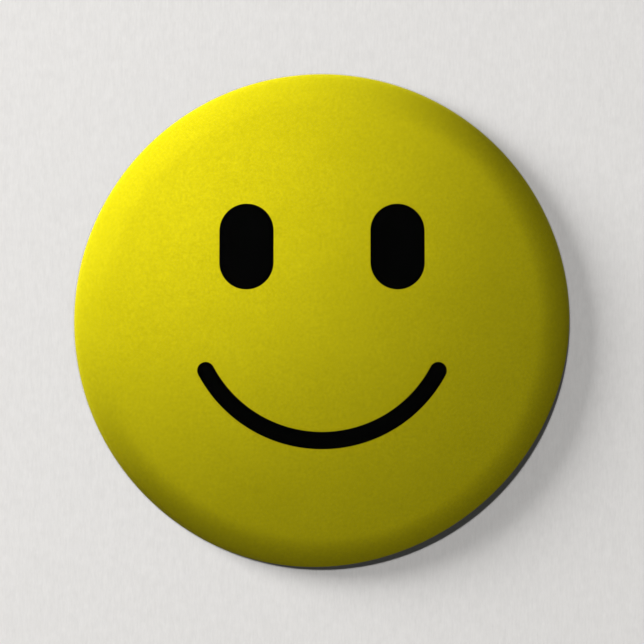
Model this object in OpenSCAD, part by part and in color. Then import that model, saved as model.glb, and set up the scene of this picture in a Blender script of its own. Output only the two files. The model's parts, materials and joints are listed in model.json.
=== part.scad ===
// Pin-back button badge: a film-covered, paper-faced tinplate shell crimped over a pressed
// back plate, which carries a one-piece spring-wire pin.
// Millimetres. The face looks along -Y, +Z is up as worn, and the origin is the centre of the
// flat rim that bears on the garment, so everything ahead of that rim has a negative y.

/* [Badge] */
// Outside diameter over the rounded edge
badge_d = 57.15; // [25:0.05:76]
// Slope of the dome where the rounded edge takes over, in degrees
dome_slope = 14; // [3:0.5:18]
// Radius of the broad shoulder between the dome and the side
shoulder_r = 6.9; // [3:0.1:8]
// Slope at which the shoulder tightens into the side, in degrees
shoulder_end = 45; // [35:1:60]
// Radius of the tighter bend at the side
side_r = 2.2; // [1:0.1:3]
// Outside radius of the curl at the back of the rim
curl_r = 0.9; // [0.7:0.05:1.2]
// How far the curl stands ahead of the bearing rim
curl_set = 0.1; // [0.05:0.05:0.3]

/* [Layers] */
// Clear film
film_t = 0.08; // [0.04:0.01:0.15]
// Printed paper
paper_t = 0.12; // [0.08:0.01:0.2]
// Tinplate of the front shell
shell_t = 0.2; // [0.18:0.01:0.3]
// Gap left between neighbouring layers
layer_gap = 0.02; // [0.01:0.005:0.05]
// Length of film and paper tucked in past the curl
tuck_l = 0.45; // [0.2:0.05:0.8]
// Length of the shell's own edge past its curl
shell_tuck_l = 0.1; // [0.05:0.05:0.3]

/* [Face] */
// Thickness of the printed ink
ink_t = 0.01; // [0.005:0.005:0.02]
// Gap between the ink and the paper
ink_lift = 0.005; // [0.001:0.001:0.01]
// Half width of one eye
eye_rx = 3.1; // [2:0.1:5]
// Half height of one eye
eye_rz = 4.9; // [2:0.1:8]
// Distance of each eye from the upright centre line
eye_x = 8.6; // [5:0.1:12]
// Height of the eyes above the centre
eye_z = 8.6; // [4:0.1:12]
// Radius of the mouth's centre line
mouth_r = 15; // [10:0.5:20]
// Line width of the mouth
mouth_w = 2; // [1:0.1:3]
// Height of the mouth's arc centre above the badge's centre
mouth_z = 1.5; // [-2:0.5:5]
// Half angle that the mouth spans, in degrees
mouth_half = 62; // [40:1:75]

/* [Back plate] */
// Tinplate of the back plate
plate_t = 0.25; // [0.2:0.01:0.35]
// Depth of the recessed panel below the bearing rim
recess = 2.5; // [1.5:0.1:3]
// Radius of the recessed panel
panel_r = 23.5; // [18:0.1:24]
// Inner radius of the flat bearing rim
rim_in_r = 24.8; // [20:0.1:25.5]
// Outer radius of the flat bearing rim
rim_out_r = 26.3; // [24:0.1:26.4]
// Height of the hidden flange that the curl traps
flange_h = 2.1; // [1.6:0.1:2.5]
// Reach of the hidden flange from the centre
flange_r = 27.6; // [27.2:0.1:27.9]
// Radius of the pressed stiffening bead
bead_r = 12.5; // [8:0.5:16]
// Height of the stiffening bead above the panel
bead_h = 0.3; // [0.2:0.05:0.35]

/* [Pin] */
// Wire diameter
wire_d = 0.8; // [0.6:0.05:1]
// Height of the pin above the badge's centre
pin_z = 5.5; // [2:0.5:10]
// Distance of the coil from the upright centre line
coil_x = 17.2; // [14:0.1:18]
// Radius of the coil's centre line
coil_r = 1.2; // [1:0.05:1.5]
// Height of the coil's centre ahead of the bearing rim
coil_depth = 0.85; // [0.5:0.05:1.5]
// Centre distance of the coil's two turns
coil_pitch = 0.9; // [0.85:0.01:1]
// Tilt of the coil's axis from square to the back plate, in degrees
coil_tilt = 40; // [30:1:60]
// Straight length of the stem where it leaves the coil
exit_l = 1.2; // [1:0.1:2]
// Length of the set that takes the stem from the coil's level to the catch's
set_l = 3; // [2:0.1:6]
// Distance of the straight stem's centre line ahead of the bearing rim
stem_depth = 0.95; // [0.6:0.05:1.5]
// Distance of the point beyond the upright centre line
tip_x = 19.6; // [14:0.1:20]
// Length of the ground point
point_l = 5.6; // [3:0.1:8]
// Radius left at the end of the ground point
tip_r = 0.06; // [0.05:0.01:0.1]

/* [Catch and bridges] */
// Distance of the catch from the upright centre line
catch_x = 17; // [14:0.1:17.5]
// Width of the catch along the pin
catch_w = 3; // [2:0.1:4]
// Inside radius of the catch's hook
catch_r = 0.6; // [0.5:0.05:0.8]
// How far the hook's lip runs past the pin's centre line, in degrees
catch_past = 8; // [0:1:12]
// Length of panel below the pin that was folded up into the catch
catch_window_l = 2.2; // [1.8:0.1:3]
// Width of each bridge along the wire
bridge_w = 1.8; // [1.5:0.1:3]
// Clearance between a bridge and the wire
bridge_gap = 0.05; // [0.02:0.01:0.1]
// Height of the lower bridge above the pin
low_bridge_z = 2.4; // [2:0.1:2.8]
// Height of the upper bridge above the pin
high_bridge_z = 5; // [4.8:0.1:5.6]
// Height of the anchor leg's top bend above the pin
leg_l = 7.6; // [6:0.1:8]
// Length of the foot at the end of the anchor leg
foot_l = 3.4; // [2:0.1:6]
// Bend radius between the anchor leg and its foot
foot_bend_r = 1; // [0.8:0.1:2]

/* [Hidden] */
$fn = 96;
wire_r = wire_d / 2;
badge_r = badge_d / 2;

// Outer profile of the face, worked inwards from the side
side_c = [badge_r - side_r, curl_set + curl_r];
shoulder_c = side_c - (shoulder_r - side_r) * [sin(shoulder_end), cos(shoulder_end)];
dome_edge = shoulder_c + shoulder_r * [sin(dome_slope), cos(dome_slope)];
dome_r = dome_edge[0] / sin(dome_slope);
dome_c = [0, dome_edge[1] - dome_r * cos(dome_slope)];
face_h = dome_c[1] + dome_r;
curl_c = [badge_r - curl_r, side_c[1]];

// Depth of each layer's outer face below the film's
paper_in = film_t + layer_gap;
shell_in = paper_in + paper_t + layer_gap;

// Coil frame: the axis points forwards and down, and the pin opens by turning about it
coil_axis = [0, -cos(coil_tilt), -sin(coil_tilt)];
open_dir = [0, sin(coil_tilt), -cos(coil_tilt)];
turn_off = coil_pitch / 2 * coil_axis;
coil_c = [coil_x, -coil_depth, pin_z + turn_off[2] - coil_r * open_dir[2]];
stem_turn_c = coil_c - turn_off;
anchor_turn_c = coil_c + turn_off;

// Path of the stem: out of the coil, through a small set, then straight to the point
stem_exit = stem_turn_c + coil_r * open_dir;
set_start = stem_exit - [exit_l, 0, 0];
set_end = [set_start[0] - set_l, -stem_depth, pin_z];
point_start = [point_l - tip_x, -stem_depth, pin_z];

// Path of the anchor leg: off the coil's side, down to the panel, up it, and across to its foot
leg_y = -(recess - wire_r - bridge_gap);
leg_exit = anchor_turn_c + [coil_r, 0, 0];
leg_dip = (leg_exit[1] - leg_y) / sin(coil_tilt);
leg_foot = leg_exit - leg_dip * open_dir;
leg_top = [leg_foot[0], leg_y, pin_z + leg_l];
leg_end = leg_top + [-foot_bend_r, 0, foot_bend_r];
foot_end = leg_end - [foot_l, 0, 0];

// Each bend of the wire is a ball a little over the wire's size, and the straight lengths stop
// just inside it
knee_r = 1.1 * wire_r;
knee_inset = 0.12;

// Straight pieces that each curve of a drawn section is made of
dome_steps = 12;
bend_steps = 8;
curl_steps = 14;
mouth_steps = 24;

up = [0, 0, 1];
across = [1, 0, 0];

film_color = [0.97, 0.96, 0.88, 0.25];
paper_color = [0.86, 0.78, 0.08];
ink_color = [0.03, 0.03, 0.03];
tin_color = [0.76, 0.76, 0.75];
wire_color = [0.66, 0.66, 0.66];

// Heights of the bridges' lower edges above the badge's centre
bridge_z = [pin_z + low_bridge_z, pin_z + high_bridge_z];

// ---- Profile helpers, drawn as [radius, height ahead of the bearing rim] ----

// Turns a revolved or drawn height into depth towards the face
module face_forward() {
    rotate([90, 0, 0])
        children();
}

// Part of a ring about c, between angles a0 and a1
module bend(c, r_in, r_out, a0, a1) {
    far = 2 * r_out;
    mid = (a0 + a1) / 2;
    translate(c)
        intersection() {
            difference() {
                circle(r = r_out);
                circle(r = r_in);
            }
            polygon([
                [0, 0],
                far * [cos(a0), sin(a0)],
                far * [cos(mid), sin(mid)],
                far * [cos(a1), sin(a1)],
            ]);
        }
}

// Straight strip of sheet between two centre-line points, with round ends
module strip(p, q, t) {
    side = t / 2 * [p[1] - q[1], q[0] - p[0]] / norm(q - p);
    polygon([p + side, q + side, q - side, p - side]);
    translate(p)
        circle(d = t);
    translate(q)
        circle(d = t);
}

// Evenly spaced points on an arc, with the first left out where another arc ends on it
function arc(c, r, a0, a1, steps, first = 1) =
    [for (i = [first : steps]) let (a = a0 + (a1 - a0) * i / steps) c + r * [cos(a), sin(a)]];

// One surface of the face, inset from the film's, from the middle of the dome to the tuck
function surface_line(inset, tuck) = concat(
    dome_line(inset),
    arc(shoulder_c, shoulder_r - inset, 90 - dome_slope, 90 - shoulder_end, bend_steps),
    arc(side_c, side_r - inset, 90 - shoulder_end, 0, bend_steps),
    arc(curl_c, curl_r - inset, 0, -180, curl_steps),
    [[curl_c[0] - curl_r + inset, curl_c[1] + tuck]]
);

function dome_line(inset) = arc(dome_c, dome_r - inset, 90, 90 - dome_slope, dome_steps, 0);

function reversed(list) = [for (i = [len(list) - 1 : -1 : 0]) list[i]];

// Section of one layer between two such surfaces
module layer_section(inset, t, tuck) {
    polygon(concat(surface_line(inset, tuck), reversed(surface_line(inset + t, tuck))));
}

module layer(inset, t, tuck) {
    face_forward()
        rotate_extrude()
            layer_section(inset, t, tuck);
}

// ---- Face ----

module clear_film() {
    color(film_color)
        layer(0, film_t, tuck_l);
}

module artwork_disc() {
    color(paper_color)
        layer(paper_in, paper_t, tuck_l);
}

module front_shell() {
    color(tin_color)
        layer(shell_in, shell_t, shell_tuck_l);
}

module oval(rx, rz) {
    straight = rz - rx;
    translate([-rx, -straight])
        square([2 * rx, 2 * straight]);
    for (s = [-1, 1])
        translate([0, s * straight])
            circle(r = rx);
}

// Band of even width with round ends
module mouth() {
    a0 = -90 - mouth_half;
    a1 = -90 + mouth_half;
    half_w = mouth_w / 2;
    polygon(concat(
        arc([0, 0], mouth_r + half_w, a0, a1, mouth_steps),
        arc(mouth_r * [cos(a1), sin(a1)], half_w, a1, a1 + 180, bend_steps),
        arc([0, 0], mouth_r - half_w, a1, a0, mouth_steps),
        arc(mouth_r * [cos(a0), sin(a0)], half_w, a0 + 180, a0 + 360, bend_steps)
    ));
}

// Everything under the dome at one inset, down to the bearing rim
module under_dome(inset) {
    line = dome_line(inset);
    rotate_extrude()
        polygon(concat(line, [[line[len(line) - 1][0], 0], [0, 0]]));
}

// One printed shape, laid on the dome's paper in the gap under the film
module inked() {
    color(ink_color)
        face_forward()
            difference() {
                intersection() {
                    linear_extrude(height = face_h)
                        children();
                    under_dome(paper_in - ink_lift - ink_t);
                }
                under_dome(paper_in - ink_lift);
            }
}

module face_print() {
    for (s = [-1, 1])
        inked()
            translate([s * eye_x, eye_z])
                oval(eye_rx, eye_rz);
    inked()
        translate([0, mouth_z])
            mouth();
}

// ---- Back plate ----

// Centre line of the pressed plate, from the middle out to the trapped flange
module plate_section() {
    mid = plate_t / 2;
    floor_h = recess + mid;
    translate([0, recess])
        square([panel_r, plate_t]);
    strip([panel_r, floor_h], [rim_in_r - mid, mid], plate_t);
    translate([rim_in_r - mid, 0])
        square([rim_out_r - rim_in_r + mid, plate_t]);
    strip([rim_out_r, mid], [rim_out_r + mid, 2 * plate_t], plate_t);
    strip([rim_out_r + mid, 2 * plate_t], [rim_out_r + mid, flange_h], plate_t);
    strip([rim_out_r + mid, flange_h], [flange_r - mid, flange_h], plate_t);
}

// The pressed disc with its stiffening bead, which stands out towards the garment
module plate_blank() {
    bead_c = [bead_r, recess + plate_t];
    face_forward()
        rotate_extrude() {
            difference() {
                plate_section();
                translate(bead_c)
                    circle(r = bead_h);
            }
            bend(bead_c, bead_h, bead_h + plate_t, 180, 360);
        }
}

// Window left in the panel where a tongue or bridge was pressed out of it
module window(x, z, size_x, size_z) {
    translate([x - size_x / 2, -recess - 2 * plate_t, z])
        cube([size_x, 3 * plate_t, size_z]);
}

// Hook folded up from the panel and over the pin's point
module catch_hook() {
    hook_out = catch_r + plate_t;
    translate([-catch_x - catch_w / 2, -stem_depth, pin_z])
        rotate([90, 0, 90])
            linear_extrude(height = catch_w) {
                bend([0, 0], catch_r, hook_out, -catch_past, 90);
                translate([stem_depth - recess - plate_t / 2, catch_r])
                    square([recess + plate_t / 2 - stem_depth, plate_t]);
            }
}

// Strap pressed up over the anchor leg
module bridge(z) {
    strap_in = wire_r + bridge_gap;
    strap_out = strap_in + plate_t;
    foot = recess + leg_y + plate_t / 2;
    translate([leg_top[0], leg_y, z])
        linear_extrude(height = bridge_w) {
            bend([0, 0], strap_in, strap_out, 0, 180);
            for (s = [-1, 1])
                translate([s * (strap_in + strap_out) / 2 - plate_t / 2, -foot])
                    square([plate_t, foot]);
        }
}

module back_plate() {
    strap_span = 2 * (wire_r + bridge_gap);
    color(tin_color) {
        difference() {
            plate_blank();
            window(-catch_x, pin_z - catch_window_l, catch_w, catch_window_l + catch_r);
            for (z = bridge_z)
                window(leg_top[0], z, strap_span, bridge_w);
        }
        catch_hook();
        for (z = bridge_z)
            bridge(z);
    }
}

// ---- Pin ----

// Turns the local Z axis to a unit direction
module aim(dir) {
    rotate([0, acos(dir[2]), atan2(dir[1], dir[0])])
        children();
}

// Straight length between two bends, or from a bend to a free end
module wire(p, q, trim_q = knee_inset) {
    d = q - p;
    dir = d / norm(d);
    translate(p + knee_inset * dir)
        aim(dir)
            cylinder(r = wire_r, h = norm(d) - knee_inset - trim_q);
}

// Bend in the wire, with its poles inside the two lengths that meet there
module knee(p, dir) {
    translate(p)
        aim(dir)
            sphere(r = knee_r);
}

// Part of a turn of wire about the local Z axis
module arc_of_wire(r, a0, a1) {
    trim = knee_inset / r * 180 / PI;
    rotate(a0 + trim)
        rotate_extrude(angle = a1 - a0 - 2 * trim)
            translate([r, 0])
                circle(r = wire_r);
}

module coil_turn(c, a0, a1) {
    translate(c)
        rotate([90 + coil_tilt, 0, 0])
            arc_of_wire(coil_r, a0, a1);
}

// Fixed part of the coil and the leg held under the bridges
module pin_anchor() {
    color(wire_color) {
        coil_turn(anchor_turn_c, 180, 360);
        knee(leg_exit, -open_dir);
        wire(leg_exit, leg_foot);
        knee(leg_foot, up);
        wire(leg_foot, leg_top);
        knee(leg_top, up);
        translate(leg_top - [foot_bend_r, 0, 0])
            rotate([90, 0, 0])
                arc_of_wire(foot_bend_r, 0, 90);
        knee(leg_end, across);
        wire(leg_end, foot_end, 0);
    }
}

// Moving part of the coil, the set, the straight stem and its ground point
module pin_stem() {
    color(wire_color) {
        coil_turn(stem_turn_c, -90, 180);
        knee(stem_exit, across);
        wire(stem_exit, set_start);
        knee(set_start, across);
        wire(set_start, set_end);
        knee(set_end, across);
        wire(set_end, point_start, 0);
        translate(point_start)
            rotate([0, -90, 0])
                cylinder(r1 = wire_r, r2 = tip_r, h = point_l);
    }
}

clear_film();
artwork_disc();
face_print();
front_shell();
back_plate();
pin_anchor();
pin_stem();
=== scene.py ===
import json
import math

import bpy
import numpy as np
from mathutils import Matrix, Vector
from mathutils.geometry import delaunay_2d_cdt


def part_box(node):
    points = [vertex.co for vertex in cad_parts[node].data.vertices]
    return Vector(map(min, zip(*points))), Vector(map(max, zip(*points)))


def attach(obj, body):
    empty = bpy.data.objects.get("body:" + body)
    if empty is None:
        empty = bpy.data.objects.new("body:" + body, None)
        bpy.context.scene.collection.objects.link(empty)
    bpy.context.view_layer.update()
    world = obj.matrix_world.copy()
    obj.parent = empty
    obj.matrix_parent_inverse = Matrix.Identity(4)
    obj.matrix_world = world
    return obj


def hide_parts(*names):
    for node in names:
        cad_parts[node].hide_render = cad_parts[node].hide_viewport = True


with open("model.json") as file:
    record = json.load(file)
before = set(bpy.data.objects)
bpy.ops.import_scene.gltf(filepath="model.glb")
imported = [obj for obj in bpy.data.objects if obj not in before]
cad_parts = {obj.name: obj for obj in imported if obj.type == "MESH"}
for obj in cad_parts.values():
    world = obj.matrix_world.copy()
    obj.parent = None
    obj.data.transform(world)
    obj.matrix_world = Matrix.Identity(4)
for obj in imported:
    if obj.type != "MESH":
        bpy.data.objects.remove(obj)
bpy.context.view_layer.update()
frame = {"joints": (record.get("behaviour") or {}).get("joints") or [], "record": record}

# Lengths are in millimetres until a mesh is made. A profile's points are (radius, height), where
# height is measured ahead of the bearing rim, so it runs along -Y. A flat layout is measured in
# arc length along such a profile, as the disc lay before it was pressed. Angles are in degrees.
MM = 0.001

# ---- Dimensions taken from the frame ----

film_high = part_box("clear_film")[1] / MM
BADGE_R = film_high.x
CURL_BACK_H = -film_high.y
PLATE_BACK_H = -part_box("back_plate")[1].y / MM
hinge = frame["joints"][0]
HINGE_C = np.array(hinge["pos_m"]) / MM
HINGE_AXIS = np.array(hinge["axis"]) / np.linalg.norm(hinge["axis"])
STEM_TIP_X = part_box("pin_stem")[0].x / MM
PIN_MOUNT = next(m for m in frame["record"]["mounts"] if m["name"] == "wearing_pin")
STEM_Y, STEM_Z = (value / MM for value in PIN_MOUNT["pos_m"][1:])
WIRE_R = PIN_MOUNT["dims"]["r_mm"]

# ---- Dimensions of the badge, as the CAD has them ----

DOME_SLOPE = 14
SHOULDER_R = 6.9
SHOULDER_END = 45
SIDE_R = 2.2
CURL_R = 0.9
FILM_TO_PAPER = 0.1
PAPER_TO_SHELL = 0.14
TUCK = 0.45
# The arc length just before the rounded edge, from where the meshes need close rings
EDGE_FROM = 24.6

PLEAT_DEPTH = 0.035
PLEATS_FROM = 0.6
PLEATS_RISE_L = 2.2

EYE_R = (3.1, 4.9)
EYE_AT = (8.6, 8.6)
MOUTH_R = 15
MOUTH_W = 2
MOUTH_Z = 1.5
MOUTH_HALF = 62

# The yellow print is a disc on the flat sheet, set off towards the upper left of a dark border.
# Its radius passes the badge's widest line by the spare.
YELLOW_SPARE = 1.53
YELLOW_OFFSET = 3.43
YELLOW_TURN = 125

PLATE_T = 0.25
RECESS = 2.5
PANEL_R = 23.35
RIM_IN_R = 24.55
RIM_OUT_R = 26.6
BEAD_R = 12.5
BEAD_H = 0.3
BEAD_HALF_W = 0.9

CATCH_X = 17
CATCH_W = 3
CATCH_R = 0.6
CATCH_PAST = 8
CATCH_BEND_R = 0.45
CATCH_CORNER_R = 0.7
CATCH_WINDOW_L = 2.2
CATCH_ROOT_Z = STEM_Z + CATCH_R + PLATE_T / 2
WIRE_GAP = 0.05
BRIDGE_W = 1.8
BRIDGE_UP = (2.4, 5.0)
BRIDGE_BEND_R = 0.35
BRIDGE_R = WIRE_R + WIRE_GAP + PLATE_T / 2
TONGUE_OVERLAP = 0.02
COIL_R = 1.2
COIL_PITCH = 0.9
STEM_EXIT_L = 1.2
STEM_SET_L = 4.2
STEM_BEND_R = 2.5
POINT_L = 5.6
POINT_R = 0.05
LEG_L = 7.6
LEG_BEND_R = 1
FOOT_L = 3.4
FOOT_BEND_R = 1


# ---- Curves and profiles ----


def arc(centre, radius, start, end, steps):
    """Points on an arc, angles in degrees."""
    angles = np.radians(np.linspace(start, end, steps + 1))
    return np.array(centre) + radius * np.c_[np.cos(angles), np.sin(angles)]


def rounded(points, radii, steps=6):
    """A path of 2-D or 3-D points with each inner corner turned into an arc of the given radius."""
    points = [np.array(p, float) for p in points]
    path = [points[0]]
    for before, corner, after, radius in zip(points, points[1:], points[2:], radii):
        into, out = before - corner, after - corner
        into, out = into / np.linalg.norm(into), out / np.linalg.norm(out)
        half = math.acos(np.clip(into @ out, -1, 1)) / 2
        middle = (into + out) / np.linalg.norm(into + out)
        centre = corner + middle * radius / math.sin(half)
        first = corner + into * radius / math.tan(half) - centre
        last = corner + out * radius / math.tan(half) - centre
        turn = math.pi - 2 * half
        for i in range(steps + 1):
            share = i / steps
            blend = math.sin((1 - share) * turn) * first + math.sin(share * turn) * last
            path.append(centre + blend / math.sin(turn))
    return np.array(path + [points[-1]])


def without_repeats(path):
    """A path without the points that only repeat the one before."""
    keep = np.r_[True, np.linalg.norm(np.diff(path, axis=0), axis=1) > 1e-6]
    return path[keep]


class Profile:
    """A section that is turned round the badge's axis, read by its arc length."""

    def __init__(self, points):
        self.points = without_repeats(np.array(points, float))
        steps = np.linalg.norm(np.diff(self.points, axis=0), axis=1)
        self.length = np.r_[0, np.cumsum(steps)]
        self.end = self.length[-1]
        self.widest = self.length[np.argmax(self.points[:, 0])]

    def at(self, s):
        """Radius and height at an arc length."""
        r, h = (np.interp(s, self.length, self.points[:, i]) for i in (0, 1))
        return r, h

    def outward(self, s):
        """The unit normal on the left of the path, as (radial, height)."""
        step = 0.02
        (r0, h0), (r1, h1) = self.at(s - step), self.at(s + step)
        size = np.hypot(r1 - r0, h1 - h0) + 1e-12
        return -(h1 - h0) / size, (r1 - r0) / size

    def out_to(self, radius):
        """The arc length where the profile first reaches a radius."""
        outbound = self.length <= self.widest
        return np.interp(radius, self.points[outbound, 0], self.length[outbound])


def face_profile(inset):
    """The section of the film, paper or shell, inset from the film's outer surface."""
    side_c = np.array([BADGE_R - SIDE_R, CURL_BACK_H + CURL_R])
    end = math.radians(SHOULDER_END)
    slope = math.radians(DOME_SLOPE)
    shoulder_c = side_c - (SHOULDER_R - SIDE_R) * np.array([math.sin(end), math.cos(end)])
    dome_edge = shoulder_c + SHOULDER_R * np.array([math.sin(slope), math.cos(slope)])
    dome_r = dome_edge[0] / math.sin(slope)
    dome_c = [0, dome_edge[1] - dome_r * math.cos(slope)]
    curl_c = np.array([BADGE_R - CURL_R, side_c[1]])
    return Profile(np.concatenate([
        arc(dome_c, dome_r - inset, 90, 90 - DOME_SLOPE, 36),
        arc(shoulder_c, SHOULDER_R - inset, 90 - DOME_SLOPE, 90 - SHOULDER_END, 24),
        arc(side_c, SIDE_R - inset, 90 - SHOULDER_END, 0, 16),
        arc(curl_c, CURL_R - inset, 0, -180, 28),
        [[curl_c[0] - CURL_R + inset, curl_c[1] + TUCK]],
    ]))


def plate_profile():
    """The back of the pressed plate, from its middle to the wall that goes up inside the curl."""
    bead = np.linspace(-1, 1, 17)
    bead_points = np.c_[
        BEAD_R + BEAD_HALF_W * bead, RECESS - BEAD_H * np.cos(bead * math.pi / 2) ** 2
    ]
    rim = rounded(
        [
            (PANEL_R - 2, RECESS),
            (PANEL_R, RECESS),
            (RIM_IN_R, PLATE_BACK_H),
            (RIM_OUT_R, PLATE_BACK_H),
            (RIM_OUT_R, PLATE_BACK_H + 1.5),
        ],
        (0.8, 0.45, 0.5),
        steps=8,
    )
    return Profile(np.concatenate([[[0, RECESS]], bead_points, rim]))


# ---- Meshes ----

FEWEST_SEGMENTS = 48
MOST_SEGMENTS = 576
FINEST_STEP = 0.25
# An outline on a flat sheet stops this far short of the sheet's edge
EDGE_MARGIN = 0.05
# A grid point is left out when an outline is nearer than this share of the gap between rings
CROWDED = 0.35


def new_object(name, vertices, faces, material_indices=None, materials=()):
    """A smooth-shaded object from vertices in millimetres."""
    mesh = bpy.data.meshes.new(name)
    mesh.from_pydata((np.asarray(vertices) * MM).tolist(), [], faces)
    for material in materials:
        mesh.materials.append(material)
    if material_indices is not None:
        mesh.polygons.foreach_set("material_index", material_indices)
    mesh.polygons.foreach_set("use_smooth", [True] * len(mesh.polygons))
    mesh.update()
    obj = bpy.data.objects.new(name, mesh)
    bpy.context.scene.collection.objects.link(obj)
    return obj


def pleats(profile, s, angle):
    """How far the wrapped skin lifts where it is gathered in behind the rim.
    Two uneven waves of folds cross, so that no two pleats are alike."""
    rise = np.clip((s - profile.widest - PLEATS_FROM) / PLEATS_RISE_L, 0, 1) ** 2
    wave = np.abs(np.sin(31 * angle + 0.8 * np.sin(7 * angle)))
    wave += 0.7 * np.abs(np.sin(47 * angle + 1.1 * np.sin(5 * angle + 1)))
    return PLEAT_DEPTH * rise * (wave - 0.8)


def place(profile, s, angle, lift=0.0):
    """3-D points for arc lengths and angles round the axis, lifted off the surface."""
    r, h = profile.at(s)
    nr, nh = profile.outward(s)
    r, h = r + lift * nr, h + lift * nh
    return np.c_[r * np.cos(angle), -h, r * np.sin(angle)]


def rings(profile, coarse, fine, fine_from):
    """Arc lengths of a pressed disc's rings: wide apart on its flat, close at its bent edge."""
    flat = np.arange(coarse, fine_from, coarse)
    return np.r_[flat, np.arange(fine_from, profile.end, fine), profile.end]


def turned(name, profile, ring_s, segments, material, pleated=False):
    """A disc-like skin turned round the badge's axis."""
    angle = np.linspace(0, 2 * math.pi, segments, endpoint=False)
    vertices = [place(profile, np.zeros(1), np.zeros(1))]
    for s in ring_s:
        at = np.full(segments, s)
        lift = pleats(profile, at, angle) if pleated else 0.0
        vertices.append(place(profile, at, angle, lift))
    faces = [(0, 1 + j, 1 + (j + 1) % segments) for j in range(segments)]
    for i in range(len(ring_s) - 1):
        inner, outer = 1 + i * segments, 1 + (i + 1) * segments
        for j in range(segments):
            k = (j + 1) % segments
            faces.append((inner + j, outer + j, outer + k, inner + k))
    return new_object(name, np.concatenate(vertices), faces, materials=[material])


def outlines(loops, limit):
    """The points of closed flat loops within a radius, and the edges between neighbours."""
    points, edges = [], []
    for loop in loops:
        inside = np.hypot(*np.array(loop).T) < limit
        number = len(points) + np.cumsum(inside) - 1
        after = np.roll(np.arange(len(loop)), -1)
        edges += [
            (int(number[i]), int(number[j]))
            for i, j in enumerate(after)
            if inside[i] and inside[j]
        ]
        points += [tuple(p) for p, kept in zip(loop, inside) if kept]
    return points, edges


def flat_grid(ring_s, outline_points):
    """Flat points on rings, left out where they would crowd an outline inside the sheet's edge."""
    outline_points = np.array(outline_points)
    grid = [(0.0, 0.0)]
    for s, gap in zip(ring_s, np.diff(np.r_[0, ring_s])):
        count = 6 * round(2 * math.pi * s / 6 / max(gap, FINEST_STEP))
        count = min(MOST_SEGMENTS, max(FEWEST_SEGMENTS, count))
        angle = np.arange(count) * 2 * math.pi / count
        for p in s * np.c_[np.cos(angle), np.sin(angle)]:
            crowded = np.min(np.sum((outline_points - p) ** 2, axis=1)) < (CROWDED * gap) ** 2
            if not crowded or s == ring_s[-1]:
                grid.append(tuple(p))
    return grid


def cut_sheet(name, profile, ring_s, loops, kind_of, materials, pleated=False, rear=False):
    """A pressed disc whose flat layout is cut along closed loops.
    kind_of gives each flat point its material's number, or -1 where the sheet is cut away."""
    points, edges = outlines(loops, profile.end - EDGE_MARGIN)
    everything = [Vector(p) for p in points + flat_grid(ring_s, points)]
    flat, _, faces, _, _, _ = delaunay_2d_cdt(everything, edges, [], 0, 1e-6)
    flat = np.array([tuple(p) for p in flat])
    centres = np.array([flat[list(f)].mean(axis=0) for f in faces])
    kinds = kind_of(centres)
    s, angle = np.hypot(*flat.T), np.arctan2(flat[:, 1], flat[:, 0])
    lift = pleats(profile, s, angle) if pleated else 0.0
    kept = [tuple(f) for f, kind in zip(faces, kinds) if kind >= 0]
    if rear:
        kept = [face[::-1] for face in kept]
    return new_object(
        name, place(profile, s, angle, lift), kept, kinds[kinds >= 0].astype(int), materials
    )


def tube(name, path, radii, material, segments=20, closed=False):
    """A round wire along a path, with a radius at each point."""
    path = np.array(path, float)
    ahead = np.roll(path, -1, axis=0) - np.roll(path, 1, axis=0)
    if not closed:
        ahead[0], ahead[-1] = path[1] - path[0], path[-1] - path[-2]
    ahead /= np.linalg.norm(ahead, axis=1)[:, None]
    not_along_it = [0.3, 0.5, 0.8]
    side = np.cross(ahead[0], not_along_it)
    vertices = []
    for p, d, r in zip(path, ahead, radii):
        side = side - (side @ d) * d
        side /= np.linalg.norm(side)
        other = np.cross(d, side)
        turn = np.arange(segments) * 2 * math.pi / segments
        vertices.append(p + r * (np.outer(np.cos(turn), side) + np.outer(np.sin(turn), other)))
    count = len(path)
    faces = []
    for i in range(count if closed else count - 1):
        here, there = i * segments, (i + 1) % count * segments
        for j in range(segments):
            k = (j + 1) % segments
            faces.append((here + j, here + k, there + k, there + j))
    if not closed:
        faces.append(tuple(reversed(range(segments))))
        faces.append(tuple((count - 1) * segments + j for j in range(segments)))
    return new_object(name, np.concatenate(vertices), faces, materials=[material])


def bent_strip(name, path, widths, across, thickness, material):
    """A tongue of sheet bent along a path, with its width at each point and softened edges."""
    path = np.array(path, float)
    ahead = np.gradient(path, axis=0)
    ahead /= np.linalg.norm(ahead, axis=1)[:, None]
    across = np.array(across, float)
    soft = 0.3 * thickness
    vertices = []
    for p, d, width in zip(path, ahead, widths):
        up = np.cross(d, across)
        half_w, half_t = width / 2, thickness / 2
        section = [
            (half_w - soft, half_t),
            (half_w, half_t - soft),
            (half_w, soft - half_t),
            (half_w - soft, -half_t),
        ]
        section += [(-w, t) for w, t in reversed(section)]
        vertices += [p + w * across + t * up for w, t in section]
    sides = len(section)
    last = sides * (len(path) - 1)
    faces = []
    for here in range(0, last, sides):
        there = here + sides
        for j in range(sides):
            k = (j + 1) % sides
            faces.append((here + j, here + k, there + k, there + j))
    faces += [tuple(reversed(range(sides))), tuple(range(last, last + sides))]
    return new_object(name, vertices, faces, materials=[material])


def joined(name, objects):
    """One object from several, keeping the first one's materials."""
    for obj in bpy.context.selected_objects:
        obj.select_set(False)
    for obj in objects:
        obj.select_set(True)
    bpy.context.view_layer.objects.active = objects[0]
    bpy.ops.object.join()
    objects[0].name = name
    return objects[0]


# ---- Materials ----


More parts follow.
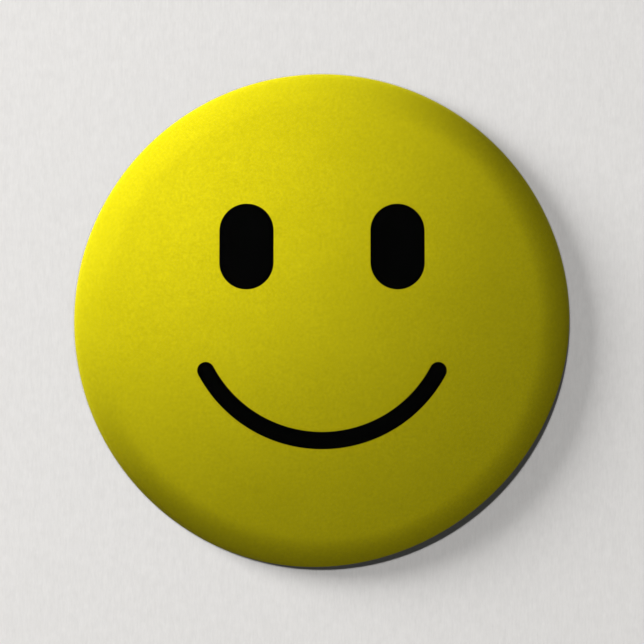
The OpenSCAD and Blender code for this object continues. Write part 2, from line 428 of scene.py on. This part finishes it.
class Shader:
    """A material's node tree, with short calls for the nodes used here."""

    def __init__(self, name):
        self.material = bpy.data.materials.new(name)
        self.material.use_nodes = True
        self.tree = self.material.node_tree
        self.bsdf = self.tree.nodes["Principled BSDF"]
        self.output = self.tree.nodes["Material Output"]
        self.place = self.tree.nodes.new("ShaderNodeTexCoord").outputs["Object"]

    def set(self, **values):
        for name, value in values.items():
            self.bsdf.inputs[name.replace("_", " ")].default_value = value

    def link(self, a, b):
        self.tree.links.new(a, b)

    def noise(self, size_mm, detail=3.0, roughness=0.55, stretch=(1, 1, 1)):
        """Noise with features about that size."""
        mapping = self.tree.nodes.new("ShaderNodeMapping")
        mapping.inputs["Scale"].default_value = stretch
        self.link(self.place, mapping.inputs["Vector"])
        node = self.tree.nodes.new("ShaderNodeTexNoise")
        node.inputs["Scale"].default_value = 1 / (size_mm * MM)
        node.inputs["Detail"].default_value = detail
        node.inputs["Roughness"].default_value = roughness
        self.link(mapping.outputs["Vector"], node.inputs["Vector"])
        return node.outputs["Fac"]

    def between(self, value, low, high, out_low=0.0, out_high=1.0):
        """A value's range from low to high, spread over another range and held inside it."""
        node = self.tree.nodes.new("ShaderNodeMapRange")
        for name, number in (
            ("From Min", low),
            ("From Max", high),
            ("To Min", out_low),
            ("To Max", out_high),
        ):
            node.inputs[name].default_value = number
        self.link(value, node.inputs["Value"])
        return node.outputs["Result"]

    def mixed(self, factor, a, b):
        """Colour a where factor is 0 and b where it is 1."""
        node = self.tree.nodes.new("ShaderNodeMix")
        node.data_type = "RGBA"
        self.link(factor, node.inputs["Factor"])
        # A Mix node has sockets for each kind of value, and these three are the colour ones
        node.inputs[6].default_value = (*a, 1)
        node.inputs[7].default_value = (*b, 1)
        return node.outputs[2]

    def scaled(self, colour, factor):
        """A colour times a number."""
        node = self.tree.nodes.new("ShaderNodeVectorMath")
        node.operation = "SCALE"
        self.link(colour, node.inputs["Vector"])
        self.link(factor, node.inputs["Scale"])
        return node.outputs["Vector"]

    def bump(self, height, depth_mm, strength):
        node = self.tree.nodes.new("ShaderNodeBump")
        node.inputs["Distance"].default_value = depth_mm * MM
        node.inputs["Strength"].default_value = strength
        self.link(height, node.inputs["Height"])
        self.link(node.outputs["Normal"], self.bsdf.inputs["Normal"])


def print_material(name, colour, darker, rough, pearl=0.0):
    """Ink or colour printed on smooth paper. Pearl is the share that is a sheen of its colour.
    It has no white gloss of its own, because the film over it wets it."""
    shader = Shader(name)
    clouds = shader.between(shader.noise(6, detail=4), 0.3, 0.7)
    speckle = shader.between(shader.noise(0.3, roughness=0.7), 0.25, 0.75, 1.12, 0.84)
    toned = shader.mixed(clouds, colour, darker)
    shader.link(shader.scaled(toned, speckle), shader.bsdf.inputs["Base Color"])
    grain = shader.noise(0.25, detail=2)
    shader.link(
        shader.between(grain, 0.2, 0.8, rough - 0.05, rough + 0.08),
        shader.bsdf.inputs["Roughness"],
    )
    shader.set(Metallic=pearl, Specular_IOR_Level=0.0)
    shader.bump(grain, depth_mm=0.002, strength=0.5)
    return shader.material


def film_material():
    """Clear polyester film with a satin surface: a little gloss over what is behind it."""
    shader = Shader("clear_film")
    nodes, tree = shader.tree.nodes, shader.tree
    nodes.remove(shader.bsdf)
    clear = nodes.new("ShaderNodeBsdfTransparent")
    gloss = nodes.new("ShaderNodeBsdfGlossy")
    gloss.inputs["Color"].default_value = (0.9, 0.9, 0.88, 1)
    scuffs = shader.between(shader.noise(1.4, detail=6, roughness=0.7), 0.35, 0.75, 0.24, 0.4)
    tree.links.new(scuffs, gloss.inputs["Roughness"])
    # Layer Weight takes both sides of the film alike, where Fresnel would close off its inside
    edge = nodes.new("ShaderNodeLayerWeight")
    steep = nodes.new("ShaderNodeMath")
    steep.operation = "POWER"
    steep.inputs[1].default_value = 5
    tree.links.new(edge.outputs["Facing"], steep.inputs[0])
    mix = nodes.new("ShaderNodeMixShader")
    tree.links.new(shader.between(steep.outputs["Value"], 0, 1, 0.003, 0.35), mix.inputs["Fac"])
    tree.links.new(clear.outputs["BSDF"], mix.inputs[1])
    tree.links.new(gloss.outputs["BSDF"], mix.inputs[2])
    tree.links.new(mix.outputs["Shader"], shader.output.inputs["Surface"])
    return shader.material


def tin_material(name, colour, rough):
    """Bright tinplate: rolled grain, cloudy plating and a few dull spots."""
    shader = Shader(name)
    clouds = shader.between(shader.noise(5, detail=5, roughness=0.6), 0.3, 0.7)
    dull = tuple(0.86 * c for c in colour)
    shader.link(shader.mixed(clouds, colour, dull), shader.bsdf.inputs["Base Color"])
    grain = shader.noise(0.5, roughness=0.6, stretch=(1, 1, 14))
    shader.link(
        shader.between(grain, 0.25, 0.75, rough - 0.07, rough + 0.1),
        shader.bsdf.inputs["Roughness"],
    )
    shader.set(Metallic=1.0)
    shader.bump(grain, depth_mm=0.003, strength=0.6)
    return shader.material


def wire_material():
    """Nickel-plated spring wire with faint drawing lines along it."""
    shader = Shader("wire")
    lines = shader.noise(0.12, detail=2, roughness=0.5, stretch=(0.05, 1, 1))
    shader.link(
        shader.between(lines, 0.3, 0.7, 0.16, 0.3), shader.bsdf.inputs["Roughness"]
    )
    tone = shader.between(shader.noise(2.5, detail=4), 0.3, 0.7)
    shader.link(
        shader.mixed(tone, (0.72, 0.71, 0.69), (0.6, 0.59, 0.57)),
        shader.bsdf.inputs["Base Color"],
    )
    shader.set(Metallic=1.0)
    shader.bump(lines, depth_mm=0.002, strength=0.5)
    return shader.material


def paper_backdrop_material():
    """Off-white paper that is seen from its front only, so that views from behind show the pin."""
    shader = Shader("backdrop_paper")
    tooth = shader.noise(1.2, detail=5, roughness=0.6)
    fibres = shader.noise(0.22, roughness=0.65, stretch=(1, 1, 0.2))
    flecks = shader.between(fibres, 0.25, 0.75, 1.045, 0.955)
    toned = shader.mixed(
        shader.between(tooth, 0.3, 0.7), (0.80, 0.785, 0.767), (0.77, 0.755, 0.737)
    )
    shader.link(shader.scaled(toned, flecks), shader.bsdf.inputs["Base Color"])
    shader.set(Roughness=0.9, Specular_IOR_Level=0.1)
    shader.bump(tooth, depth_mm=0.02, strength=0.4)
    nodes, tree = shader.tree.nodes, shader.tree
    side = nodes.new("ShaderNodeNewGeometry")
    clear = nodes.new("ShaderNodeBsdfTransparent")
    mix = nodes.new("ShaderNodeMixShader")
    tree.links.new(side.outputs["Backfacing"], mix.inputs["Fac"])
    tree.links.new(shader.bsdf.outputs["BSDF"], mix.inputs[1])
    tree.links.new(clear.outputs["BSDF"], mix.inputs[2])
    tree.links.new(mix.outputs["Shader"], shader.output.inputs["Surface"])
    return shader.material


def floor_material():
    """Plain pale card."""
    shader = Shader("floor")
    shader.set(Base_Color=(0.55, 0.545, 0.535, 1), Roughness=0.8)
    return shader.material


YELLOW = print_material(
    "yellow_print", (0.525, 0.467, 0.006), (0.504, 0.448, 0.005), 0.7, pearl=0.1
)
BORDER = print_material("border_print", (0.34, 0.34, 0.33), (0.32, 0.32, 0.31), 0.55)
INK = print_material("ink", (0.001, 0.001, 0.001), (0.002, 0.002, 0.002), 0.5)
FILM = film_material()
TIN = tin_material("tinplate", (0.74, 0.735, 0.72), 0.3)
WIRE = wire_material()


# ---- Face ----


def oval_loop(x, z, steps=72):
    """An upright oval: a rectangle with round ends."""
    half_w, half_h = EYE_R
    straight = half_h - half_w
    top = arc((x, z + straight), half_w, 0, 180, steps // 2)
    bottom = arc((x, z - straight), half_w, 180, 360, steps // 2)
    return np.concatenate([top, bottom])


def mouth_loop():
    """An arc with round ends, open at the top."""
    low, high = -90 - MOUTH_HALF, -90 + MOUTH_HALF
    centre = np.array([0, MOUTH_Z])
    half_w = MOUTH_W / 2
    left_end, right_end = arc(centre, MOUTH_R, low, high, 1)
    loop = np.concatenate([
        arc(centre, MOUTH_R + half_w, low, high, 90),
        arc(right_end, half_w, high, high + 180, 16),
        arc(centre, MOUTH_R - half_w, high, low, 90),
        arc(left_end, half_w, low + 180, low + 360, 16),
    ])
    return without_repeats(loop)[:-1]


def in_oval(points, x, z):
    """True for points inside that upright oval."""
    half_w, half_h = EYE_R
    straight = half_h - half_w
    off = points - (x, z)
    off[:, 1] -= np.clip(off[:, 1], -straight, straight)
    return np.hypot(*off.T) < half_w


def in_mouth(points):
    """True for points within half the mouth's width of its middle line."""
    off = points - (0, MOUTH_Z)
    from_bottom = (np.degrees(np.arctan2(off[:, 1], off[:, 0])) + 270) % 360 - 180
    turn = np.radians(np.clip(from_bottom, -MOUTH_HALF, MOUTH_HALF) - 90)
    nearest = MOUTH_R * np.c_[np.cos(turn), np.sin(turn)]
    return np.hypot(*(off - nearest).T) < MOUTH_W / 2


def make_face():
    """The printed paper, the film over it and the shell under it."""
    paper = face_profile(FILM_TO_PAPER)
    yellow_r = paper.widest + YELLOW_SPARE
    turn = math.radians(YELLOW_TURN)
    yellow_c = YELLOW_OFFSET * np.array([math.cos(turn), math.sin(turn)])
    eyes = [(-EYE_AT[0], EYE_AT[1]), EYE_AT]
    loops = [oval_loop(*eye) for eye in eyes]
    loops += [mouth_loop(), arc(yellow_c, yellow_r, 0, 360, 480)[:-1]]

    def kind_of(points):
        inked = in_mouth(points)
        for eye in eyes:
            inked |= in_oval(points, *eye)
        border = np.hypot(*(points - yellow_c).T) > yellow_r
        return np.where(inked, 2, np.where(border, 1, 0))

    ring_s = rings(paper, coarse=1.1, fine=0.2, fine_from=EDGE_FROM)
    inks = [YELLOW, BORDER, INK]
    artwork = cut_sheet("artwork", paper, ring_s, loops, kind_of, inks, pleated=True)
    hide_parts("artwork_disc", "face_print")
    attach(artwork, "badge")

    outside = face_profile(0)
    ring_s = rings(outside, coarse=1.1, fine=0.2, fine_from=EDGE_FROM)
    film = turned("clear_film_skin", outside, ring_s, MOST_SEGMENTS, FILM, pleated=True)
    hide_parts("clear_film")
    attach(film, "badge")

    tin = face_profile(FILM_TO_PAPER + PAPER_TO_SHELL)
    ring_s = rings(tin, coarse=2.4, fine=0.3, fine_from=EDGE_FROM)
    shell = turned("shell", tin, ring_s, 192, TIN)
    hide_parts("front_shell")
    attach(shell, "badge")

    # Matte surfaces near the face don't take on its yellow, as the photo's paper doesn't
    artwork.visible_diffuse = False
    film.visible_diffuse = False
    return artwork, shell


# ---- Back plate ----


def window_loop(profile, x0, x1, z0, z1):
    """A window's outline in the plate's flat layout, from its place on the pressed panel."""
    corners = [(x0, z0), (x1, z0), (x1, z1), (x0, z1)]
    per_side = 8
    around = []
    for a, b in zip(corners, corners[1:] + corners[:1]):
        around += [np.add(a, np.subtract(b, a) * i / per_side) for i in range(per_side)]
    around = np.array(around)
    radius = np.hypot(*around.T)
    return around * (profile.out_to(radius) / radius)[:, None]


def inside_loop(points, loop):
    """True for points inside a convex, counter-clockwise loop, or almost."""
    slack = 0.02
    inside = np.ones(len(points), bool)
    for a, b in zip(loop, np.roll(loop, -1, axis=0)):
        edge, off = b - a, points - a
        inside &= edge[0] * off[:, 1] - edge[1] * off[:, 0] > -slack
    return inside


def make_catch():
    """The tongue folded up out of the panel and over the pin's point."""
    floor_y = -(RECESS + PLATE_T / 2)
    root_z = CATCH_ROOT_Z + CATCH_BEND_R + TONGUE_OVERLAP
    web = rounded(
        [(floor_y, root_z), (floor_y, CATCH_ROOT_Z), (STEM_Y, CATCH_ROOT_Z)],
        (CATCH_BEND_R,),
        steps=8,
    )
    curl = arc((STEM_Y, STEM_Z), CATCH_R + PLATE_T / 2, 90, -CATCH_PAST, 18)
    path = without_repeats(np.concatenate([web, curl]))
    length = np.r_[0, np.cumsum(np.linalg.norm(np.diff(path, axis=0), axis=1))]
    to_end = length[-1] - length
    past_corner = np.maximum(CATCH_CORNER_R - to_end, 0)
    trim = CATCH_CORNER_R - np.sqrt(np.maximum(CATCH_CORNER_R**2 - past_corner**2, 0))
    return bent_strip(
        "catch",
        [(-CATCH_X, y, z) for y, z in path],
        CATCH_W - 2 * trim,
        (1, 0, 0),
        PLATE_T,
        TIN,
    )


def make_bridge(leg_x, leg_y, z):
    """A strap pressed up over the anchor leg."""
    floor_y = -(RECESS + PLATE_T / 2)
    reach = BRIDGE_R + BRIDGE_BEND_R + TONGUE_OVERLAP
    left = rounded(
        [(-reach, floor_y), (-BRIDGE_R, floor_y), (-BRIDGE_R, leg_y)], (BRIDGE_BEND_R,)
    )
    over = arc((0, leg_y), BRIDGE_R, 180, 0, 20)
    right = left[::-1] * (-1, 1)
    path = without_repeats(np.concatenate([left, over, right]))
    middle = z + BRIDGE_W / 2
    return bent_strip(
        "bridge",
        [(leg_x + x, y, middle) for x, y in path],
        np.full(len(path), BRIDGE_W),
        (0, 0, 1),
        PLATE_T,
        TIN,
    )


def plate_windows(profile, leg_x):
    """The outlines of the holes that the catch and the bridges leave in the plate."""
    half_w = CATCH_W / 2
    low, high = STEM_Z - CATCH_WINDOW_L, CATCH_ROOT_Z + CATCH_BEND_R
    windows = [window_loop(profile, -CATCH_X - half_w, -CATCH_X + half_w, low, high)]
    half_w = BRIDGE_R + BRIDGE_BEND_R
    for up in BRIDGE_UP:
        low = STEM_Z + up
        windows.append(window_loop(profile, leg_x - half_w, leg_x + half_w, low, low + BRIDGE_W))
    return windows


def make_back_plate(leg_x, leg_y):
    """The pressed plate with its windows, the catch and the bridges, as one piece."""
    profile = plate_profile()
    windows = plate_windows(profile, leg_x)

    def kind_of(points):
        cut = np.zeros(len(points), bool)
        for loop in windows:
            cut |= inside_loop(points, loop)
        return np.where(cut, -1, 0)

    ring_s = rings(profile, coarse=0.45, fine=0.14, fine_from=profile.out_to(PANEL_R - 1.2))
    panel = cut_sheet("panel", profile, ring_s, windows, kind_of, [TIN], rear=True)
    thick = panel.modifiers.new("thickness", "SOLIDIFY")
    thick.thickness = PLATE_T * MM
    thick.offset = -1
    bpy.context.view_layer.objects.active = panel
    bpy.ops.object.modifier_apply(modifier=thick.name)
    panel.data.set_sharp_from_angle(angle=math.radians(40))
    bridges = [make_bridge(leg_x, leg_y, STEM_Z + up) for up in BRIDGE_UP]
    plate = joined("back_plate_pressing", [panel, make_catch(), *bridges])
    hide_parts("back_plate")
    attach(plate, "badge")
    return plate


# ---- Pin ----


def coil_ring(name, centre):
    """One closed turn of the coil."""
    across = np.array([1.0, 0, 0])
    other = np.cross(HINGE_AXIS, across)
    turn = np.arange(72) * 2 * math.pi / 72
    path = centre + COIL_R * (np.outer(np.cos(turn), across) + np.outer(np.sin(turn), other))
    return tube(name, path, np.full(len(path), WIRE_R), WIRE, closed=True)


def make_pin():
    """The wire in two pieces that meet at the coil. Also returns where the anchor leg lies."""
    open_dir = np.cross([1.0, 0, 0], HINGE_AXIS)
    stem_turn = HINGE_C - HINGE_AXIS * COIL_PITCH / 2
    anchor_turn = HINGE_C + HINGE_AXIS * COIL_PITCH / 2

    exit_at = stem_turn + COIL_R * open_dir
    tip = np.array([STEM_TIP_X, STEM_Y, STEM_Z])
    set_from = exit_at - (STEM_EXIT_L, 0, 0)
    set_end = np.array([exit_at[0] - STEM_SET_L, STEM_Y, STEM_Z])
    stem_path = rounded([exit_at, set_from, set_end, tip], (STEM_BEND_R, STEM_BEND_R), steps=8)
    point = tip + np.outer(np.linspace(1, 0, 16) * POINT_L, [1, 0, 0])
    stem_path = without_repeats(np.concatenate([stem_path[:-1], point]))
    from_tip = np.clip((stem_path[:, 0] - tip[0]) / POINT_L, 0, 1)
    radii = WIRE_R * from_tip**0.8 + POINT_R * (1 - from_tip)
    stem = joined(
        "stem", [coil_ring("stem_coil", stem_turn), tube("stem_wire", stem_path, radii, WIRE)]
    )
    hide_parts("pin_stem")
    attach(stem, "pin")

    leg_y = -(RECESS - WIRE_R - WIRE_GAP)
    leave = anchor_turn + COIL_R * np.array([1, 0, 0])
    foot = leave - open_dir * (leave[1] - leg_y) / open_dir[1]
    top = np.array([foot[0], leg_y, STEM_Z + LEG_L + FOOT_BEND_R])
    end = top - (FOOT_BEND_R + FOOT_L, 0, 0)
    leg_path = rounded([leave, foot, top, end], (LEG_BEND_R, FOOT_BEND_R), steps=10)
    leg_path = without_repeats(leg_path)
    leg_radii = np.full(len(leg_path), WIRE_R)
    anchor = joined(
        "anchor", [coil_ring("anchor_coil", anchor_turn), tube("leg", leg_path, leg_radii, WIRE)]
    )
    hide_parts("pin_anchor")
    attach(anchor, "badge")
    return stem, anchor, foot[0], leg_y


# ---- Stage, in metres ----

WORLD_LIT = 0.07
WORLD_MIRRORED = 0.42
WORLD_SEEN = 0.75
WALL_BEHIND = 0.0001
WALL_HALF = 0.075
FLOOR_BELOW = 1.6 * BADGE_R * MM
FLOOR_HALF = 0.6
CAMERA_DISTANCE = 0.45
FRAME_WIDTH = 0.074


def plane(name, centre, u, v, material):
    """A flat rectangle about centre, spanned by half-sides u and v."""
    centre, u, v = (np.array(a, float) for a in (centre, u, v))
    corners = [centre - u - v, centre + u - v, centre + u + v, centre - u + v]
    return new_object(name, np.array(corners) / MM, [(0, 1, 2, 3)], materials=[material])


def make_stage():
    """The paper behind the badge and the floor below. Only the camera sees them, so neither
    shades the badge nor is mirrored in it."""
    paper, card = paper_backdrop_material(), floor_material()
    wall = plane("backdrop", (0, WALL_BEHIND, 0), (WALL_HALF, 0, 0), (0, 0, WALL_HALF), paper)
    floor = plane("floor", (0, 0, -FLOOR_BELOW), (FLOOR_HALF, 0, 0), (0, FLOOR_HALF, 0), card)
    for obj in (wall, floor):
        for kind in ("diffuse", "glossy", "transmission", "shadow"):
            setattr(obj, f"visible_{kind}", False)
    return wall, floor


def area_light(name, direction, distance, size, power, lit, matte=True, gloss=True):
    """A square lamp that faces the badge from that direction, and lights only those objects.
    It can be left out of what is matte in them, or of what is glossy."""
    lamp = bpy.data.lights.new(name, "AREA")
    lamp.size, lamp.energy = size, power
    obj = bpy.data.objects.new(name, lamp)
    away = Vector(direction).normalized()
    obj.location = away * distance
    obj.rotation_mode = "QUATERNION"
    obj.rotation_quaternion = away.to_track_quat("Z", "Y")
    obj.visible_camera = False
    obj.visible_diffuse = matte
    obj.visible_glossy = gloss
    bpy.context.scene.collection.objects.link(obj)
    receivers = bpy.data.collections.new(name + "_lights")
    for target in lit:
        receivers.objects.link(target)
    obj.light_linking.receiver_collection = receivers


def from_left(turn, elevation):
    """A direction turned that far up from the left, and raised that far off the face's plane."""
    turn, elevation = math.radians(turn), math.radians(elevation)
    flat = math.cos(elevation)
    return -flat * math.cos(turn), -math.sin(elevation), flat * math.sin(turn)


def make_world():
    """A surround that lights dimly, and is paler where it is mirrored or seen directly."""
    world = bpy.data.worlds.new("studio")
    world.use_nodes = True
    tree = world.node_tree
    ray = tree.nodes.new("ShaderNodeLightPath")
    lit_or_mirrored = tree.nodes.new("ShaderNodeMix")
    lit_or_mirrored.inputs["A"].default_value = WORLD_LIT
    lit_or_mirrored.inputs["B"].default_value = WORLD_MIRRORED
    tree.links.new(ray.outputs["Is Glossy Ray"], lit_or_mirrored.inputs["Factor"])
    or_seen = tree.nodes.new("ShaderNodeMix")
    or_seen.inputs["B"].default_value = WORLD_SEEN
    tree.links.new(lit_or_mirrored.outputs["Result"], or_seen.inputs["A"])
    tree.links.new(ray.outputs["Is Camera Ray"], or_seen.inputs["Factor"])
    background = tree.nodes["Background"]
    background.inputs["Color"].default_value = (1.0, 0.99, 0.97, 1)
    tree.links.new(or_seen.outputs["Result"], background.inputs["Strength"])
    bpy.context.scene.world = world


def make_lights(artwork, metal, wall, floor):
    """Soft lamps from the upper left in front, with others above and behind. The print and the
    wall have a key each, because the photo lights them from slightly different directions."""
    area_light(
        "print_key", from_left(44.5, 1), distance=0.5, size=0.15, power=5.7, lit=[artwork], gloss=False
    )
    area_light(
        "print_fill", from_left(90, 88), distance=0.6, size=0.15, power=0.12, lit=[artwork], gloss=False
    )
    area_light(
        "print_sheen", from_left(44.5, 63), distance=0.5, size=0.15, power=21, lit=[artwork], matte=False
    )
    area_light(
        "curl_key", (0.5, 1, 0.25), distance=0.5, size=0.3, power=1.4, lit=[artwork], gloss=False
    )
    area_light("wall_key", from_left(25.6, 22.7), distance=0.8, size=0.41, power=8.1, lit=[wall])
    area_light("wall_fill", from_left(90, 88), distance=0.7, size=0.1, power=2.08, lit=[wall])
    area_light("floor_key", (0, 0, 1), distance=1.5, size=0.6, power=30, lit=[floor])
    area_light("metal_key", (0.5, 1, 0.9), distance=0.5, size=0.3, power=2.2, lit=metal)
    area_light("metal_fill", (-1, 0.8, -0.3), distance=0.5, size=0.3, power=0.8, lit=metal)


def make_camera():
    """Straight on to the face. The frame's width is what it spans at the badge's widest line."""
    data = bpy.data.cameras.new("camera")
    data.lens = data.sensor_width * CAMERA_DISTANCE / FRAME_WIDTH
    data.clip_start = 0.01
    camera = bpy.data.objects.new("camera", data)
    camera.location = (0, -CAMERA_DISTANCE - (CURL_BACK_H + CURL_R) * MM, 0)
    camera.rotation_euler = (math.pi / 2, 0, 0)
    bpy.context.scene.collection.objects.link(camera)
    bpy.context.scene.camera = camera


make_camera()
artwork, shell = make_face()
stem, anchor, leg_x, leg_y = make_pin()
metal = [shell, stem, anchor, make_back_plate(leg_x, leg_y)]
wall, floor = make_stage()
make_world()
make_lights(artwork, metal, wall, floor)
bpy.context.scene.view_settings.view_transform = "Standard"

bpy.context.view_layer.update()
